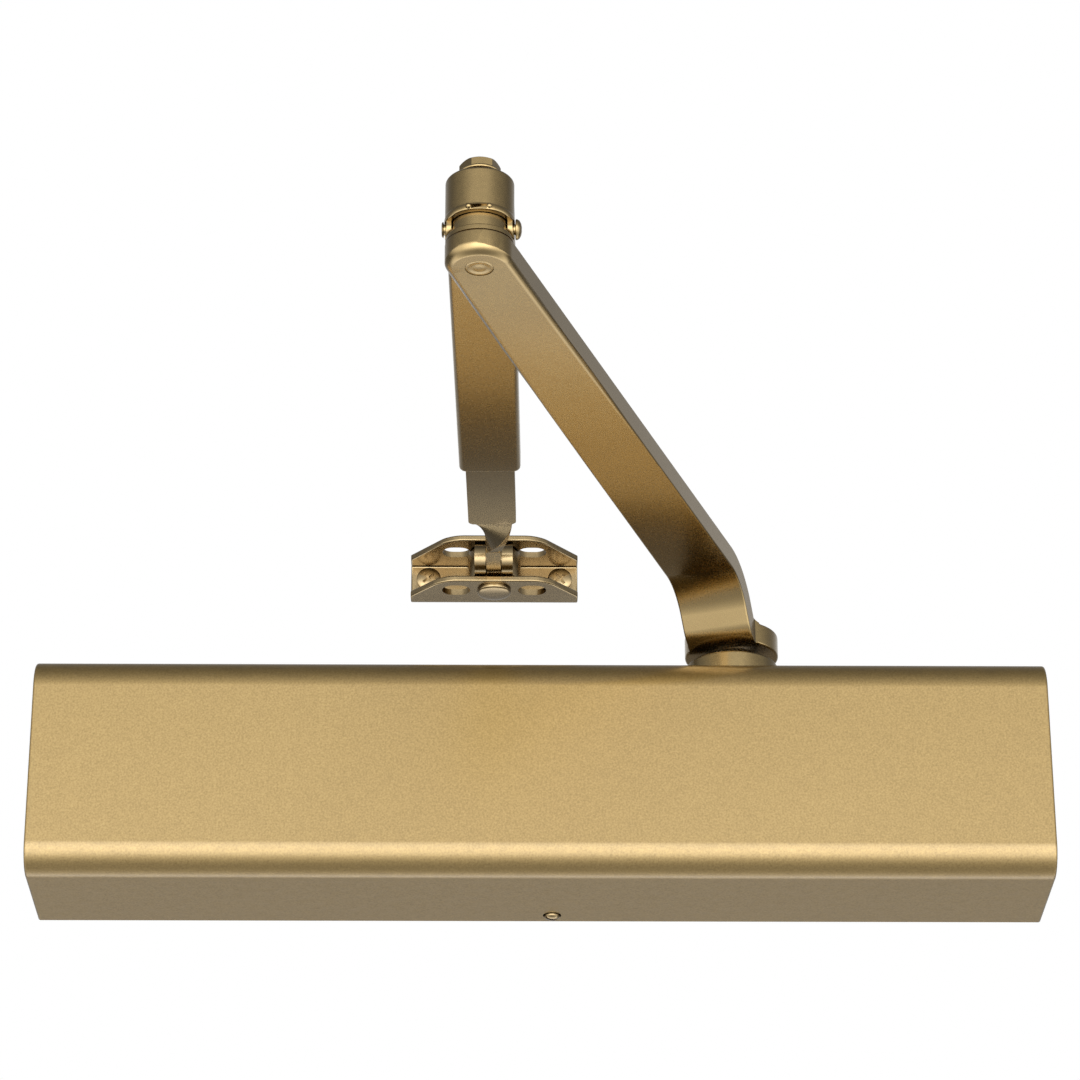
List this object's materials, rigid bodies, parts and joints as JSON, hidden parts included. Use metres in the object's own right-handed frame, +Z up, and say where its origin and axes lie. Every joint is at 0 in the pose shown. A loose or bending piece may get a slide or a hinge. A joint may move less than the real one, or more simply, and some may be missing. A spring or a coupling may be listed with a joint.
{
  "type": "door closer",
  "caption": "Surface-mounted rack-and-pinion door closer with a long round-edged metal cover, a folding two-piece adjustable arm and a slotted frame shoe.",
  "frame": {"origin": "middle of the flat back of the closer body, on the door face", "axes": "+X along the cover towards the spindle's end, +Y out of the back into the door, +Z up"},
  "size_m": [0.318, 0.2634, 0.135],
  "materials": {
    "cover_gold": "satin metallic gold paint with fine sparkle",
    "arm_gold": "satin gold-bronze paint",
    "shoe_brass": "brassy plated steel, bright at the edges",
    "casting_iron": "cast and painted grey",
    "plain_steel": "machined",
    "spring_steel": "oiled spring wire",
    "seal_rubber": "matt"
  },
  "bodies": {
    "housing": {"cover": "cover_gold", "cover_screw": "shoe_brass", "cover_bracket": "plain_steel", "body_casting": "casting_iron", "end_plug_left": "plain_steel", "end_plug_right": "plain_steel", "end_seal_left": "seal_rubber", "end_seal_right": "seal_rubber", "upper_bearing": "plain_steel", "lower_bearing": "plain_steel", "spindle_seal": "seal_rubber", "pinion_cap": "plain_steel", "spindle_collar": "cover_gold", "main_spring": "spring_steel"},
    "spindle": {"pinion_shaft": "plain_steel", "arm_washer": "plain_steel", "arm_screw": "plain_steel", "main_arm": "arm_gold", "elbow_rivet": "arm_gold"},
    "piston_rack": {"piston": "plain_steel", "piston_seal_left": "seal_rubber", "piston_seal_right": "seal_rubber", "check_valve": "plain_steel"},
    "seat_nut": {"spring_seat": "plain_steel"},
    "adjuster": {"power_adjuster": "plain_steel"},
    "sweep_needle": {"sweep_valve": "plain_steel"},
    "latch_needle": {"latch_valve": "plain_steel"},
    "backcheck_needle": {"backcheck_valve": "plain_steel"},
    "knuckle": {"knuckle_post": "arm_gold"},
    "forearm": {"knuckle_cap": "arm_gold", "knuckle_bolt": "arm_gold", "cross_pin": "arm_gold", "forearm_sleeve": "arm_gold", "length_screw": "plain_steel"},
    "rod": {"forearm_rod": "arm_gold"},
    "yoke": {"shoe_yoke": "shoe_brass", "yoke_pin": "shoe_brass"},
    "shoe": {"shoe_bracket": "shoe_brass", "shoe_rivet": "shoe_brass", "shoe_screw_left": "shoe_brass", "shoe_screw_right": "shoe_brass"}
  },
  "joints": [
    {"name": "spindle_turn", "type": "hinge", "parent": "housing", "child": "spindle", "pos_m": [0.0613, -0.024, 0], "axis": [0, 0, 1], "range_deg": [-170, 0], "stiffness_Nm_per_rad": 6, "springref_deg": 20.05},
    {"name": "piston_slide", "type": "slide", "parent": "housing", "child": "piston_rack", "axis": [1, 0, 0], "range_m": [-0.03, 0], "deforming": ["main_spring"]},
    {"name": "power_adjuster_turn", "type": "hinge", "parent": "housing", "child": "adjuster", "pos_m": [-0.15, -0.024, 0], "axis": [1, 0, 0], "range_deg": [0, 1800]},
    {"name": "spring_seat_slide", "type": "slide", "parent": "housing", "child": "seat_nut", "axis": [1, 0, 0], "range_m": [0, 0.008]},
    {"name": "sweep_valve_turn", "type": "hinge", "parent": "housing", "child": "sweep_needle", "pos_m": [0.1, -0.023, -0.025], "axis": [0, 0, 1], "range_deg": [0, 540]},
    {"name": "latch_valve_turn", "type": "hinge", "parent": "housing", "child": "latch_needle", "pos_m": [0.112, -0.023, -0.025], "axis": [0, 0, 1], "range_deg": [0, 540]},
    {"name": "backcheck_valve_turn", "type": "hinge", "parent": "housing", "child": "backcheck_needle", "pos_m": [0.124, -0.023, -0.025], "axis": [0, 0, 1], "range_deg": [0, 540]},
    {"name": "elbow_turn", "type": "hinge", "parent": "spindle", "child": "knuckle", "pos_m": [-0.01836, -0.24168, 0.0728], "axis": [0, 0, 1], "continuous": true},
    {"name": "elbow_tilt", "type": "hinge", "parent": "knuckle", "child": "forearm", "pos_m": [-0.01836, -0.24168, 0.07715], "axis": [0.9999, -0.0147, 0], "range_deg": [0, 4]},
    {"name": "rod_slide", "type": "slide", "parent": "forearm", "child": "rod", "axis": [0.0147, 0.9999, 0], "range_m": [-0.025, 0.04]},
    {"name": "yoke_tilt", "type": "hinge", "parent": "rod", "child": "yoke", "pos_m": [-0.0151, -0.01901, 0.0819], "axis": [0.9999, -0.0147, 0], "range_deg": [-4, 4]},
    {"name": "shoe_swivel", "type": "hinge", "parent": "yoke", "child": "shoe", "pos_m": [-0.01498, -0.01101, 0.08185], "axis": [0, 0, 1], "range_deg": [-40, 40]}
  ],
  "couplings": [
    {"joint": "piston_slide", "follows": "spindle_turn", "m_per_rad": 0.01},
    {"joint": "spring_seat_slide", "follows": "power_adjuster_turn", "m_per_rad": 0.00023873}
  ]
}
